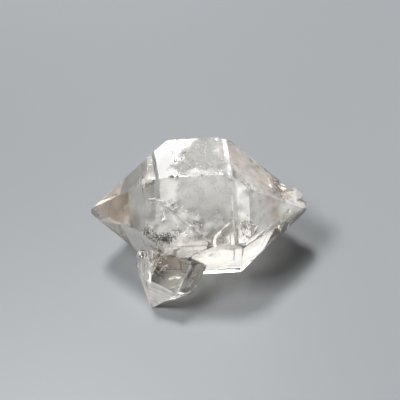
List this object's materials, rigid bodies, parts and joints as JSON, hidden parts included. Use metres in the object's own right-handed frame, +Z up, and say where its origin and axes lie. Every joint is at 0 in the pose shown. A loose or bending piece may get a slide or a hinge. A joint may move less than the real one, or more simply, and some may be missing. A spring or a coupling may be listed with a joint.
{
  "type": "double-terminated quartz crystal",
  "caption": "Stout double-terminated quartz crystal with flat faces, growth ledges, chips and pits, and a smaller crystal grown out of its lower front corner.",
  "frame": {"origin": "middle of the bounding box at its base, on the surface that the stone rests on", "axes": "+X along the large crystal's long axis towards its blunter, more broken tip; +Z up; the small crystal is on the -Y side, which faces the viewer"},
  "size_m": [0.0306, 0.021, 0.019],
  "materials": {
    "quartz": "clear, slightly smoky, glossy faces"
  },
  "bodies": {
    "root": {"quartz_crystal": "quartz"}
  },
  "joints": []
}
